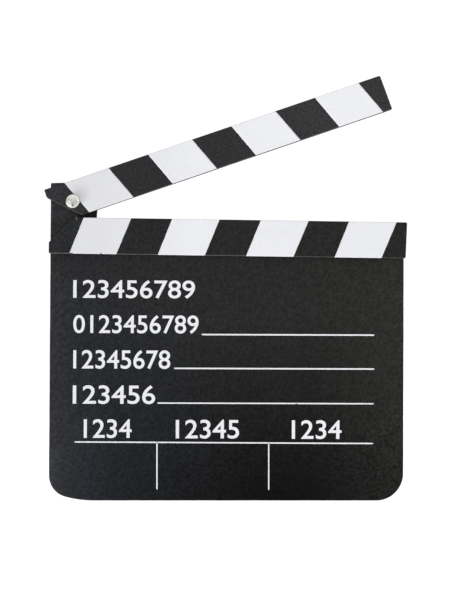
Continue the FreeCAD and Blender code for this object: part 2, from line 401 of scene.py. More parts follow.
def black_paint(name, tone, wear_and_highlight=0.0, chips=()):
    """Matte black paint rolled on fibreboard: pebbled mottle, faint clouds, dust, rubbed edges, and painted light and
    shade set by position.
    tone: which piece, and so where its painted light and shade lie; wear_and_highlight: how pale the down-facing edges
    are, partly knocked bare and partly a painted highlight; chips: (x, y, z, radius, soft) to the bare board."""
    m = Tree(name)
    x, y, z = m.split(m.co)
    pebble = m.noise(760.0, 2.0, 0.6)
    grain = m.noise(2300.0, 3.0, 0.6)
    cloud = m.noise(23.0, 3.0, 0.5)
    patch = m.noise(130.0, 3.0, 0.6)

    def along(v, a, b, lo=0.0, hi=1.0):
        return m.ramp(v, a * MM, b * MM, lo, hi)

    def lerp(v, to, f):
        """v towards the number to by the share f."""
        return m.math("ADD", v, m.math("MULTIPLY", f, m.math("SUBTRACT", to, v)))

    if tone == "panel":
        # painted light and shade: the black is set darker low in the middle and lighter along the sides, most at the
        # far left, under the sticks and on the ear, standing in for how the light falls; the tint is cooler low and at
        # the left and warmer to the right
        val = along(z, 5, 105, 0.0037, 0.0199)
        left = m.math("MULTIPLY", along(x, 15, -93, 0.0, 0.62), along(z, 35, 105, 1.0, 0.25))
        left = m.math("MAXIMUM", left, m.math("MULTIPLY", along(x, -78, -97), along(z, 142, 122)))
        left = m.math("MAXIMUM", left, along(z, 152, 160))
        val = lerp(lerp(val, 0.0268, left), 0.0238, m.math("MULTIPLY", along(x, 46, 104), along(z, 18, 60, 0.6, 1.0)))
        val = lerp(val, 0.0300, m.math("MULTIPLY", along(x, -62, -92, 0.0, 0.62), along(z, 92, 40)))
        val = lerp(val, 0.0420, m.math("MULTIPLY", along(x, -91.5, -98.5, 0.0, 0.75), along(z, 45, 12, 0.15, 1.0)))
        val = lerp(val, 0.0308, along(z, 154, 161))
        # painted light: the ear beside the heel cut is made up to half again lighter where it lies in shade
        painted_light_beside_heel = m.math("MULTIPLY", along(m.math("SUBTRACT", z, x), 243.3, 250.5, 0.50, 0.0), along(x, -89, -93.5))
        val = m.math("MULTIPLY", val, m.math("ADD", 1.0, m.math("MULTIPLY", painted_light_beside_heel, along(z, 138, 142))))
        # painted shadow: the ear between the two sticks beside the hinge is set near black
        val = lerp(val, 0.010, m.product(along(x, -86, -82.5, 0.0, 0.7), along(z, 166, 163), along(z, 155.5, 157)))
        # painted light: the ear's corner above the swinging stick is lightened where it lies in the stick's shade
        val = lerp(val, 0.052, m.math("MULTIPLY", along(z, 168, 174), along(x, -80, -90)))
        val = lerp(val, 0.0215, along(y, -1.0, 1.0))
        low_cool = m.mix(along(z, 10, 120), (0.86, 0.985, 1.26), (0.95, 0.99, 1.07))
        low_cool = m.mix(along(x, -80, -97), low_cool, (0.955, 0.99, 1.07))
        tint = m.mix(along(x, -95, 60), low_cool, (1.01, 1.01, 0.96))
    elif tone == "upper":
        # painted light: lighter at the hinge end and rising to the right, standing in for how the light falls; the tint
        # shifts with it
        val = m.math("ADD", along(x, -60, -97, 0.0247, 0.0325), along(x, -40, 0, 0.0, 0.003))
        val = m.math("ADD", val, along(x, 0, 42, 0.0, 0.0080))
        tint = m.mix(along(x, -95, 95), (0.97, 1.0, 1.05), (0.99, 1.0, 1.03))
    else:
        # painted light: lighter towards the hinge end, standing in for the light from the left; the tint shifts with it
        val = along(x, -70, -98, 0.0187, 0.0243)
        tint = m.mix(along(x, -95, 60), (0.95, 0.99, 1.06), (1.01, 1.01, 0.97))
    mottle = m.ramp(pebble, 0.28, 0.72, 0.56, 1.44)
    if tone == "panel":
        wiped = m.math("ADD", 1.0, m.product(along(x, -50, -20, 0.0, 0.65), along(z, 70, 30), along(y, 1.0, -1.0)))
        mottle = m.math("ADD", 1.0, m.math("MULTIPLY", m.ramp(pebble, 0.28, 0.72, -0.44, 0.44), wiped))
    fac = m.product(val, mottle, m.ramp(grain, 0.3, 0.7, 0.87, 1.13), m.ramp(cloud, 0.3, 0.7, 0.95, 1.05))
    base = m.scale(tint, fac)
    # dust: sparse pale specks of different size
    dist, col = m.voronoi(330.0)
    r, g, b = m.split(col)
    speck = m.math("MULTIPLY", m.ramp(dist, 0.16, 0.06), m.ramp(r, 0.90, 0.95))
    base = m.mix(m.math("MULTIPLY", speck, m.ramp(g, 0.0, 1.0, 0.1, 0.6)), base, (0.045, 0.044, 0.041))
    dist2, col2 = m.voronoi(80.0)
    r2, g2, b2 = m.split(col2)
    mote = m.math("MULTIPLY", m.ramp(dist2, 0.035, 0.018), m.ramp(r2, 0.86, 0.92))
    base = m.mix(m.math("MULTIPLY", mote, 0.6), base, (0.075, 0.073, 0.068))
    # cut edges take the paint thinner: brown-black and fibrous; the sanded arris is rubbed paler. Where it faces down
    # it is paler still, partly worn and partly a painted highlight where the low light strikes it
    nx, ny, nz = m.split(m.no)
    face = m.math("ABSOLUTE", ny)
    edge = m.ramp(face, 0.75, 0.2)
    rub = m.math("MULTIPLY", m.ramp(face, 0.985, 0.85), m.ramp(face, 0.10, 0.35))
    fibre = m.noise(1.0, 4.0, 0.65, m.scaled(700.0, 2600.0, 700.0))
    base = m.mix(m.math("MULTIPLY", edge, m.ramp(fibre, 0.3, 0.75, 0.0, 0.7)), base, (0.0185, 0.0172, 0.0160))
    base = m.mix(m.math("MULTIPLY", rub, m.ramp(patch, 0.36, 0.66, 0.1, 0.6)), base, (0.025, 0.0248, 0.0245))
    if wear_and_highlight:
        down = m.math("MULTIPLY", m.ramp(nz, 0.0, -0.35), m.ramp(face, 0.99, 0.9))
        down = m.math("MULTIPLY", down, m.ramp(face, 0.05, 0.3))
        worn_and_lit, pale = m.ramp(patch, 0.34, 0.64, 0.30 * wear_and_highlight, wear_and_highlight), (0.112, 0.110, 0.107)
        if tone == "upper":
            # the corner after the heel cut keeps its paint and gets no painted highlight; towards the heel the edge's
            # painted highlight is brighter
            kept = m.math("MULTIPLY", along(x, -82.2, -80.6), along(x, -74, -77))
            pale = m.mix(along(x, -80, -84), pale, (0.165, 0.162, 0.157))
            down = m.math("MULTIPLY", down, m.math("SUBTRACT", 1.0, kept))
        else:
            # the fixed stick's down-facing edge is paler towards the hinge: partly rubbed, partly a painted highlight
            # from the light at the left
            down = m.product(m.ramp(nz, -0.10, -0.28), m.ramp(face, 0.995, 0.95), m.ramp(face, 0.02, 0.2))
            worn_and_lit = m.math("MULTIPLY", m.ramp(patch, 0.34, 0.64, 0.62 * wear_and_highlight, wear_and_highlight), along(x, 70, -70, 0.45, 1.0))
            pale = (0.160, 0.157, 0.151)
            # the heel cut's sanded edge is set paler: partly rubbed, partly a painted highlight
            heel = m.product(m.ramp(nx, -0.10, -0.35), m.ramp(nz, 0.10, 0.35), m.ramp(face, 0.99, 0.92), m.ramp(face, 0.1, 0.4))
            base = m.mix(m.math("MULTIPLY", heel, 0.42), base, (0.072, 0.072, 0.071))
        base = m.mix(m.math("MULTIPLY", down, worn_and_lit), base, pale)
    # the back has been handled and laid down: cloudy rubs and fine scuffs in two directions
    back = m.ramp(ny, 0.3, 0.8)
    smear = m.noise(34.0, 4.0, 0.62, distort=0.6)
    base = m.scale(base, m.math("ADD", 1.0, m.math("MULTIPLY", back, m.ramp(smear, 0.35, 0.7, -0.28, 0.42))))
    for ang, lo, amount in ((0.55, 0.635, 0.55), (-1.0, 0.665, 0.40)):
        line = m.noise(1.0, 3.0, 0.6, m.turned(ang, 26.0, 26.0, 1500.0))
        where = m.noise(31.0, 2.0, 0.5, m.turned(ang, 1.0, 1.0, 1.0, (ang, 0.3, 0.2)))
        scuff = m.product(m.ramp(line, lo, lo + 0.05), m.ramp(where, 0.52, 0.66), back)
        base = m.mix(m.math("MULTIPLY", scuff, amount), base, (0.062, 0.060, 0.056))
    tan = m.mix(m.ramp(grain, 0.3, 0.7), (0.10, 0.080, 0.042), (0.20, 0.165, 0.092))
    for cx, cy, cz, rad, soft in chips:
        base = m.mix(m.near(cx, cy, cz, rad, soft, pebble, 0.5), base, tan)
    m.set(color=base, rough=m.ramp(pebble, 0.2, 0.8, 0.72, 0.9), spec=0.07)
    peel = m.noise(420.0, 2.0, 0.5)
    m.bump([(peel, 0.35, 0.05), (pebble, 0.25, 0.04), (grain, 0.25, 0.02), (m.math("MULTIPLY", edge, fibre), 0.5, 0.05)])
    return m.mat


def bare_board(name):
    """Broken fibreboard where the paint is knocked off."""
    m = Tree(name)
    n = m.noise(1900.0, 4.0, 0.7)
    f = m.noise(1.0, 3.0, 0.65, m.scaled(900.0, 3600.0, 1500.0))
    base = m.mix(m.ramp(n, 0.3, 0.7), (0.21, 0.182, 0.118), (0.40, 0.355, 0.24))
    base = m.mix(m.ramp(f, 0.35, 0.7, 0.0, 0.6), base, (0.10, 0.082, 0.048))
    m.set(color=base, rough=m.ramp(n, 0.2, 0.8, 0.8, 0.95), spec=0.1)
    m.bump([(f, 0.6, 0.08), (n, 0.4, 0.04)])
    return m.mat


def white_print(name, angle=0.0, bright=1.0, shade=0.895, rise=1.045, painted_screw_shadow=None):
    """Screen-printed white: slightly cool, fine mesh mottle, pinholes that let the black through, faint drag lines,
    painted shade darker towards the hinge end (shade), painted light towards the right (rise), and an optional painted
    shadow of the screw head (painted_screw_shadow)."""
    m = Tree(name)
    x, y, z = m.split(m.co)
    fine = m.noise(1100.0, 3.0, 0.6)
    cloud = m.noise(45.0, 3.0, 0.55)
    drag = m.noise(1.0, 3.0, 0.6, m.turned(angle, 60.0, 900.0, 900.0))
    a, b = (0.738 * bright, 0.744 * bright, 0.778 * bright), (0.800 * bright, 0.806 * bright, 0.832 * bright)
    base = m.mix(m.ramp(fine, 0.3, 0.7), a, b)
    base = m.mix(m.ramp(cloud, 0.3, 0.75, 0.0, 0.55), base, (0.768 * bright, 0.770 * bright, 0.792 * bright))
    base = m.mix(m.ramp(drag, 0.52, 0.8, 0.0, 0.3), base, (0.712 * bright, 0.714 * bright, 0.748 * bright))
    # painted light and shade: darker towards the hinge end and lighter to the right, standing in for how the light
    # falls
    base = m.scale(base, m.math("MULTIPLY", m.ramp(x, -72 * MM, -20 * MM, shade, 1.0), m.ramp(x, -20 * MM, 40 * MM, 1.0, rise)))
    # painted shadow of the screw head, cast up and to the right of it
    if painted_screw_shadow:
        sx_, sy_, sz_, rad, soft, amount = painted_screw_shadow
        base = m.mix(m.math("MULTIPLY", m.near(sx_, sy_, sz_, rad, soft, cloud, 1.5), amount), base, (0.60, 0.60, 0.595))
    dist, col = m.voronoi(520.0)
    r, g, bb = m.split(col)
    pin = m.math("MULTIPLY", m.ramp(dist, 0.13, 0.05), m.ramp(r, 0.95, 0.98))
    base = m.mix(m.math("MULTIPLY", pin, 0.45), base, (0.30, 0.30, 0.31))
    m.set(color=base, rough=m.ramp(fine, 0.2, 0.8, 0.55, 0.75), spec=0.2)
    m.bump([(m.noise(420.0, 2.0, 0.5), 0.25, 0.04), (fine, 0.22, 0.015), (drag, 0.12, 0.02)])
    return m.mat


def bright_metal(name, col, rough, scratch=0.2, stain=0.25, recess=False):
    """Plated steel: turned micro-scratches, cloudy plating and a few darker stains; recess: dirt in the cross recess,
    with painted shade making it darkest in its lower arm."""
    m = Tree(name)
    cloud = m.noise(700.0, 3.0, 0.6)
    spots = m.noise(1900.0, 4.0, 0.65)
    lines = m.noise(1.0, 4.0, 0.7, m.turned(0.4, 400.0, 5000.0, 5200.0))
    dark = tuple(c * 0.62 for c in col)
    base = m.mix(m.ramp(cloud, 0.35, 0.72, 0.0, stain), col, dark)
    base = m.mix(m.ramp(spots, 0.62, 0.74, 0.0, stain * 1.6), base, tuple(c * 0.4 for c in col))
    if recess:
        x, y, z = m.split(m.co)
        deep = m.ramp(y, (HEAD_Y - 2.52) * MM, (HEAD_Y - 2.1) * MM)
        deep = m.math("MULTIPLY", deep, m.ramp(y, (HEAD_Y - 0.9) * MM, (HEAD_Y - 1.1) * MM))
        deep = m.math("MULTIPLY", deep, m.near(PIV_X, HEAD_Y - 2.0, PIV_Z, 3.0, 0.2))
        # painted shade: the recess is darkest in its lower arm
        low = m.ramp(z, (PIV_Z - 0.9) * MM, (PIV_Z - 2.2) * MM, 0.12, 0.93)
        base = m.mix(m.math("MULTIPLY", deep, low), base, (0.05, 0.055, 0.062))
        # the head is darker at its left and over its lower right
        dark_patches = m.math("MAXIMUM", m.math("MULTIPLY", m.near(PIV_X - 2.7, HEAD_Y - 2.6, PIV_Z + 0.3, 0.7, 1.2, cloud, 0.8), 0.8),
                      m.near(PIV_X + 1.5, HEAD_Y - 2.6, PIV_Z - 1.9, 1.2, 1.3, cloud, 0.8))
        base = m.mix(m.math("MULTIPLY", dark_patches, 0.62), base, tuple(c * 0.55 for c in col))
        # behind the panel the plating is darker, and darker still in the thread's roots
        dx, dz = m.math("SUBTRACT", x, PIV_X * MM), m.math("SUBTRACT", z, PIV_Z * MM)
        out = m.math("SQRT", m.math("ADD", m.math("MULTIPLY", dx, dx), m.math("MULTIPLY", dz, dz)))
        root = m.math("MULTIPLY", m.ramp(out, 1.97 * MM, 1.7 * MM), m.ramp(y, (HEAD_Y + 15.6) * MM, (HEAD_Y + 15.3) * MM))
        base = m.mix(m.math("MULTIPLY", m.ramp(y, 0.0, 2.0 * MM), m.math("ADD", m.math("MULTIPLY", root, 0.4), 0.5)), base, (0.17, 0.165, 0.155))
    m.set(color=base, metal=1.0, rough=m.ramp(lines, 0.25, 0.75, rough * 0.75, rough * 1.5))
    m.bump([(lines, scratch, 0.012), (cloud, 0.12, 0.03)])
    return m.mat


def nylon(name):
    m = Tree(name)
    n = m.noise(900.0, 3.0, 0.6)
    base = m.mix(m.ramp(n, 0.3, 0.7), (0.035, 0.085, 0.30), (0.055, 0.12, 0.38))
    m.set(color=base, rough=m.ramp(n, 0.2, 0.8, 0.32, 0.5))
    m.bsdf.inputs["Subsurface Weight"].default_value = 0.08
    m.bsdf.inputs["Subsurface Radius"].default_value = (0.0004, 0.0005, 0.0008)
    m.bump([(n, 0.2, 0.03)])
    return m.mat


M_BOARD = black_paint("paint_black_board", "panel", chips=[(-84.67, Y_FRONT, 158.22, 0.16, 0.26)])
FLAKE_TOP = low_place(-84.80, LOW_Y0 + 0.1, LOW_UP - 0.15)
M_LOW = black_paint("paint_black_low_stick", "lower", wear_and_highlight=1.0, chips=[(FLAKE_TOP.x, FLAKE_TOP.y, FLAKE_TOP.z, 0.30, 0.22)])
M_CLAP = black_paint("paint_black_clap_stick", "upper", wear_and_highlight=1.0)
M_PIN = black_paint("paint_black_pins", "lower")
M_BARE = bare_board("bare_fibreboard")
M_WHITE_LOW = white_print("print_white_low", bright=1.045, shade=0.885, rise=1.0)
M_WHITE_CLAP = white_print("print_white_clap", angle=OPEN, bright=1.045, shade=0.885, rise=1.04,
                           painted_screw_shadow=(PIV_X + 4.2, CLAP_Y0, PIV_Z + 4.9, 0.8, 6.0, 0.66))
M_WHITE_BOARD = white_print("print_white_board", bright=1.035, shade=0.98)
M_NICKEL = bright_metal("nickel_plate", (0.85, 0.835, 0.80), 0.20, 0.12, 0.20, recess=True)
M_ZINC = bright_metal("zinc_plate", (0.44, 0.455, 0.48), 0.30, 0.3, 0.45)
M_NYLON = nylon("nylon_blue")


# ------------------------------------------------------------------ the three fibreboard pieces
xL, xR = -BOARD_W / 2 - 0.07, BOARD_W / 2 + 0.07        # paint on the side edges
xE = -BOARD_W / 2 + EAR_W
r1, r2, turn = CORNER_L[0], CORNER_L[1], math.radians(180 + CORNER_L[2])
c1 = (xL + r1, r2 + (r2 - r1) * math.sin(turn))
c2 = (c1[0] - (r2 - r1) * math.cos(turn), r2)
left_corner = [(c1[0] + r1 * math.cos(a), c1[1] + r1 * math.sin(a)) for a in
               [math.pi + (turn - math.pi) * t / 16 for t in range(17)]]
left_corner += [(c2[0] + r2 * math.cos(a), c2[1] + r2 * math.sin(a)) for a in
                [turn + (1.5 * math.pi - turn) * t / 16 for t in range(1, 17)]]
board_pts = rounded([left_corner, (xR, 0, CORNER_R), (xR, panel_top(xR), 0.6), (xE, panel_top(xE), 0.8),
                     (xE + EAR_LEAN, EAR_TOP + EAR_RISE, 1.2), (xL, EAR_TOP, 0.7)])
board = slab("slate_panel", board_pts, Y_FRONT, Y_BACK, ARRIS, ARRIS, [(PIV_X, PIV_Z, 2.15, None)], "board",
             [M_BOARD], waver=0.03, seed=3)
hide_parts("slate_board")

sx = -STICK_L / 2
low_pts = rounded([(sx, -LOW_DOWN, END_R), (sx + STICK_L + LOW_END[0], -LOW_DOWN, END_R), (sx + STICK_L + LOW_END[1], LOW_UP, END_R),
                   (sx + HEEL_LOW, LOW_UP, 0.6), (sx, LOW_UP - HEEL_LOW, 0.6)])
# paint knocked off beside the heel cut's upper corner: two flakes that meet
FLAKE = ((0.02, 9.64), (-0.18, 9.60), (-0.26, 9.46), (-0.24, 9.32), (-0.34, 9.20), (-0.38, 9.02), (-0.24, 8.86), (0.06, 8.80),
         (0.34, 8.88), (0.46, 9.04), (0.38, 9.20), (0.26, 9.32), (0.28, 9.46), (0.20, 9.58))
low = slab("lower_stick", low_pts, LOW_Y0, LOW_Y1, ARRIS, 0.05, [(*low_own(x, z), 1.42, 0.55) for x, z in PINS], "board",
           [M_LOW, M_BARE], seed=8, place=low_place, chips=[([(u - 84.80, v) for u, v in FLAKE], 0.20)])
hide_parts("lower_clapstick")

clap_pts = rounded([(HEEL, -H, 0.6), (CLAP_L + CLAP_END[0], -H, 0.5), (CLAP_L + CLAP_END[1], H, 1.0), (0, H, END_R),
                    (0, -H + HEEL, TOE_R)])
clap = slab("upper_stick", clap_pts, CLAP_Y0, CLAP_Y1, ARRIS, ARRIS, [(PIV_U, PIV_V, 2.06, None)], "clapper",
            [M_CLAP], seed=5, place=clap_place)
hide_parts("upper_clapstick")


# ------------------------------------------------------------------ printed stripes: a paint film that follows the face and its rounded edges
def stripe(name, u0, s0, u1, s1, place, place_dir, edges, y0, body, mat, seed, lap=(80.0, 60.0), notch=None, bite=0.0):
    """One slanted bar. u0, u1: its sides at the centre line, s0, s1 their slopes du/dv; edges: the stick's lower and upper
    edge; lap: how far the paint goes round each of them, degrees; notch: (share of the width, height) of a nick in its
    lower edge; bite: share of the width without paint at the lower left corner."""
    lo, hi = edges[0] + ARRIS, edges[1] - ARRIS
    n = 64
    cols = [i / 40 for i in range(41)]
    if notch:
        cols = [c for c in cols if abs(c - notch[0]) > 0.026]
        cols = sorted(cols + [notch[0] + d for d in (-0.022, -0.014, -0.009, -0.005, 0.0, 0.005, 0.009, 0.014, 0.022)])
    bm = bmesh.new()
    grid, nors = [], []
    for t in cols:
        low_lap, foot = lap[0], lo
        if bite:
            low_lap *= min(1.0, max(0.04, (t - bite) / 0.03))
            foot += 0.14 * max(0.0, 1 - t / bite)
        if notch:
            near = max(0.0, 1 - (abs(t - notch[0]) / 0.018) ** 2)
            low_lap *= 1 - 0.96 * near
            foot += notch[1] * near
        prof = []
        for edge, side, deg in ((foot, -1, low_lap), (hi, 1, lap[1])):
            arc = []
            for k in range(1, 7):
                f = side * math.radians(deg) * k / 6
                arc.append((edge + ARRIS * math.sin(f), ARRIS * (1 - math.cos(f)), f))
            prof.append(arc if side > 0 else arc[::-1])
        mid = [(foot + (hi - foot) * k / n, 0.0, 0.0) for k in range(n + 1)]
        line, nl = [], []
        for v, w, a in prof[0] + mid + prof[1]:
            ul = u0 + s0 * v + wob(v, seed, (9.0, 0.05), (2.1, 0.03))
            ur = u1 + s1 * v + wob(v, seed + 40, (8.0, 0.05), (1.9, 0.03))
            line.append(place(ul + (ur - ul) * t, y0 + w, v))
            nl.append(place_dir(0.0, -math.cos(a), math.sin(a)))
        grid.append(line)
        nors.append(nl)
    shell(bm, grid, nors, 0.035, 0.02)
    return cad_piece(name, bm, body, mat)


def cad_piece(name, bm, body, mat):
    return new_piece(name, bm, body, [mat])


LOW_BARS = ((-84.70, 0.388, -58.45, 0.400), (-35.58, 0.385, -9.25, 0.394), (13.78, 0.395, 40.43, 0.409), (63.30, 0.388, 89.88, 0.410))
CLAP_BARS = ((15.81, -0.389, 41.77, -0.394), (64.86, -0.387, 90.93, -0.396), (114.05, -0.391, 140.31, -0.404),
             (163.48, -0.387, 189.51, -0.397))
for k, (a, sa, b, sb) in enumerate(LOW_BARS):
    stripe("low_stripe_%d" % (k + 1), a, sa, b, sb, low_place, low_dir, (-LOW_DOWN, LOW_UP), LOW_Y0, "board", M_WHITE_LOW, 11 + k,
           lap=((58.0, 66.0, 78.0, 78.0)[k], 60.0),
           notch=(0.672, 0.42) if k == 0 else None, bite=0.062 if k == 0 else 0.0)
for k, (a, sa, b, sb) in enumerate(CLAP_BARS):
    stripe("clap_stripe_%d" % (k + 1), a, sa, b, sb, clap_place, clap_dir, (-H, H), CLAP_Y0, "clapper", M_WHITE_CLAP, 23 + k,
           lap=((52.0, 34.0, 32.0, 34.0)[k], 60.0))


# ------------------------------------------------------------------ printed rules on the panel
def rule(name, x0, z0, x1, z1, width, seed, nicks=()):
    """A printed rule with slightly uneven sides and softened ends."""
    a, b = Vector((x0, z0)), Vector((x1, z1))
    d = (b - a)
    length = d.length
    d.normalize()
    q = Vector((-d.y, d.x))
    n = max(24, int(length / 0.8))
    grid, nors = [], []
    for i in range(n + 1):
        s = length * i / n
        e = max(0.0, min(s, length - s))
        end = min(1.0, 0.72 + 0.28 * math.sqrt(min(1.0, e / 0.5)))
        lo = -width / 2 * end + wob(s, seed, (13.0, 0.014), (3.1, 0.012))
        hi = width / 2 * end + wob(s, seed + 9, (11.0, 0.014), (2.7, 0.012))
        for ns, nw, nd in nicks:
            f = max(0.0, 1 - abs(s - ns) / nw)
            lo += nd * f
        grid.append([Vector((a.x + d.x * s + q.x * (lo + (hi - lo) * j / 4), Y_FRONT, a.y + d.y * s + q.y * (lo + (hi - lo) * j / 4)))
                     for j in range(5)])
        nors.append([Vector((0, -1, 0))] * 5)
    bm = bmesh.new()
    shell(bm, grid, nors, 0.035, 0.02)
    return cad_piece(name, bm, "board", M_WHITE_BOARD)


RULE_W = 0.88
rule("rule_row_2", -14.41, 92.76, 82.56, 92.86, RULE_W * 0.97, 2)
rule("rule_row_3", -29.76, 73.81, 82.61, 73.81, RULE_W * 0.97, 4)
rule("rule_row_4", -38.94, 54.405, 82.33, 54.325, RULE_W * 0.89, 6, nicks=[(77.85, 0.9, 0.4)])
rule("rule_columns", -85.0, 32.65, 82.16, 32.03, RULE_W * 0.89, 8)
rule("rule_column_1", -39.125, 32.70, -38.985, 6.29, RULE_W * 0.9, 10)
rule("rule_column_2", 23.38, 32.34, 23.49, 5.98, RULE_W * 0.82, 12)


# ------------------------------------------------------------------ plain numbers
def numbers(name, text, x0, x1, z0, z1, bold=0.009, gap=1.0):
    cu = bpy.data.curves.new(name + "_c", "FONT")
    cu.body = text
    cu.size = 1.0
    cu.offset = bold
    cu.space_character = gap
    cu.resolution_u = 8
    cu.extrude = 0.5
    ob = bpy.data.objects.new(name + "_c", cu)
    scene.collection.objects.link(ob)
    bpy.context.view_layer.update()
    mesh = bpy.data.meshes.new_from_object(ob.evaluated_get(bpy.context.evaluated_depsgraph_get()))
    bpy.data.objects.remove(ob)
    bpy.data.curves.remove(cu)
    bm = bmesh.new()
    bm.from_mesh(mesh)
    bpy.data.meshes.remove(mesh)
    bmesh.ops.remove_doubles(bm, verts=bm.verts[:], dist=1e-5)
    lo = [min(v.co[i] for v in bm.verts) for i in range(3)]
    hi = [max(v.co[i] for v in bm.verts) for i in range(3)]
    for v in bm.verts:
        fx, fz, fy = [(v.co[i] - lo[i]) / (hi[i] - lo[i]) for i in (0, 1, 2)]
        v.co = Vector((x0 + (x1 - x0) * fx, Y_FRONT + 0.02 - 0.055 * fy, z0 + (z1 - z0) * fz))
    bmesh.ops.dissolve_degenerate(bm, dist=1e-3, edges=bm.edges[:])
    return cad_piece(name, bm, "board", M_WHITE_BOARD)


numbers("numbers_row_1", "123456789", -86.27, -18.32, 112.78, 123.00)
numbers("numbers_row_2", "0123456789", -86.14, -16.20, 93.18, 103.44)
numbers("numbers_row_3", "12345678", -86.01, -31.94, 73.36, 83.89)
numbers("numbers_row_4", "123456", -86.16, -40.27, 53.78, 64.25)
numbers("numbers_column_1", "1234", -79.92, -53.28, 34.77, 45.31)
numbers("numbers_column_2", "12345", -28.66, 6.72, 34.59, 45.14)
numbers("numbers_column_3", "1234", 36.32, 64.22, 34.41, 45.01)


# ------------------------------------------------------------------ pivot screw: one turned body with a cut thread and a cross recess
def screw_mesh():
    prof = []                                   # (radius, y, thread weight)
    head_r, head_h, rim = 3.9, 2.8, 1.35
    crown = head_h - rim
    prof.append((0.0, HEAD_Y - head_h, 0))
    n = 30
    for k in range(1, n + 1):
        t = math.sin(math.pi / 2 * k / n)       # closer together towards the rolled rim
        r = head_r * t
        y = HEAD_Y - rim - (crown - 0.32) * (1 - t ** 13) ** 0.5 - 0.32 * (1 - t * t)
        prof.append((r if t < 1 else head_r, y, 0))
    prof += [(head_r, HEAD_Y - 0.75, 0), (head_r - 0.02, HEAD_Y - 0.35, 0), (head_r - 0.18, HEAD_Y - 0.06, 0), (head_r - 0.4, HEAD_Y, 0)]
    prof += [(2.25, HEAD_Y, 0), (2.0, HEAD_Y + 0.2, 0), (2.0, -2.2, 0), (2.0, -0.6, 0), (2.0, -0.2, 0)]
    y, pitch = 0.0, 0.7
    end = HEAD_Y + 16.0
    while y < end - 0.6:
        prof.append((2.0, y, min(1.0, y / 1.0)))
        y += pitch / 9
    prof += [(1.75, end - 0.25, 0.3), (1.5, end - 0.02, 0), (1.4, end, 0), (0.0, end, 0)]
    N = 72
    bm = bmesh.new()
    rings = []
    for r, yy, w in prof:
        ox, oz = (HEAD_DX, HEAD_DZ) if yy < HEAD_Y else (0.0, 0.0)
        if r == 0.0:
            rings.append([bm.verts.new((PIV_X + ox, yy, PIV_Z + oz))])
            continue
        ring = []
        for k in range(N):
            a = 2 * math.pi * k / N
            rr = r
            if w:
                ph = (yy / pitch - k / N) % 1.0
                tri = abs(ph - 0.5) * 2
                rr = r - 0.43 * w * min(1.0, max(0.0, (1 - tri) * 1.3 - 0.12))
            ring.append(bm.verts.new((PIV_X + ox + rr * math.cos(a), yy, PIV_Z + oz + rr * math.sin(a))))
        rings.append(ring)
    for p, q in zip(rings, rings[1:]):
        for k in range(N):
            if len(p) == 1:
                f = bm.faces.new((p[0], q[(k + 1) % N], q[k]))
            elif len(q) == 1:
                f = bm.faces.new((p[k], p[(k + 1) % N], q[0]))
            else:
                f = bm.faces.new((p[k], p[(k + 1) % N], q[(k + 1) % N], q[k]))
            f.smooth = True
    return bm


def cutter_mesh():
    """Cross recess: two tapered blades."""
    bm = bmesh.new()
    top = HEAD_Y - 2.8
    for deg in (3.0, 93.0):
        a = math.radians(deg)
        ux, uz = math.cos(a), math.sin(a)
        secs = []
        for y, half, wid in ((top - 0.6, 3.02, 0.56), (top + 0.85, 2.86, 0.52), (top + 1.6, 1.2, 0.36)):
            ring = []
            for su, sw in ((-1, -1), (1, -1), (1, 1), (-1, 1)):
                ring.append(bm.verts.new((PIV_X + HEAD_DX + ux * half * su - uz * wid * sw, y,
                                          PIV_Z + HEAD_DZ + uz * half * su + ux * wid * sw)))
            secs.append(ring)
        bm.faces.new(secs[0])
        bm.faces.new(secs[-1][::-1])
        for p, q in zip(secs, secs[1:]):
            for k in range(4):
                bm.faces.new((p[k], q[k], q[(k + 1) % 4], p[(k + 1) % 4]))
    return bm


def cut_screw():
    objs = []
    for nm, bm in (("screw_blank", screw_mesh()), ("screw_cross", cutter_mesh())):
        bmesh.ops.recalc_face_normals(bm, faces=bm.faces[:])
        me = bpy.data.meshes.new(nm)
        bm.to_mesh(me)
        bm.free()
        ob = bpy.data.objects.new(nm, me)
        scene.collection.objects.link(ob)
        objs.append(ob)
    mod = objs[0].modifiers.new("cross", "BOOLEAN")
    mod.operation, mod.object, mod.solver = "DIFFERENCE", objs[1], "EXACT"
    mod.use_self = True
    bpy.context.view_layer.update()
    mesh = bpy.data.meshes.new_from_object(objs[0].evaluated_get(bpy.context.evaluated_depsgraph_get()))
    for ob in objs:
        bpy.data.objects.remove(ob)
    bm = bmesh.new()
    bm.from_mesh(mesh)
    bpy.data.meshes.remove(mesh)
    bmesh.ops.remove_doubles(bm, verts=bm.verts[:], dist=1e-4)
    for e in bm.edges:
        if len(e.link_faces) == 2 and e.calc_face_angle(0.0) > math.radians(38):
            e.smooth = False
    return bm


screw = new_piece("pivot_screw_m4", cut_screw(), "board", [M_NICKEL])
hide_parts("pivot_screw")


# ------------------------------------------------------------------ panel pins: painted-over heads set just in the stick
def pins_mesh():
    bm = bmesh.new()
    for px, pz in PINS:
        prof = [(0.0, -5.93)]
        for k in range(1, 7):
            t = k / 6
            prof.append((1.15 * t, -5.93 + 0.05 * t * t))
        prof += [(1.27, -5.84), (1.3, -5.74), (1.28, -5.52), (0.75, -5.46), (0.7, -5.3), (0.7, -0.2), (0.42, 0.5), (0.0, 1.0)]
        N = 40
        rings = []
        for r, y in prof:
            if r == 0.0:
                rings.append([bm.verts.new((px, y, pz))])
            else:
                rings.append([bm.verts.new((px + r * math.cos(2 * math.pi * k / N), y, pz + r * math.sin(2 * math.pi * k / N))) for k in range(N)])
        for p, q in zip(rings, rings[1:]):
            for k in range(N):
                if len(p) == 1:
                    f = bm.faces.new((p[0], q[(k + 1) % N], q[k]))
                elif len(q) == 1:
                    f = bm.faces.new((p[k], p[(k + 1) % N], q[0]))
                else:
                    f = bm.faces.new((p[k], p[(k + 1) % N], q[(k + 1) % N], q[k]))
                f.smooth = True
    return bm


pins = new_piece("stick_pins", pins_mesh(), "board", [M_PIN])
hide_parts("panel_pins")

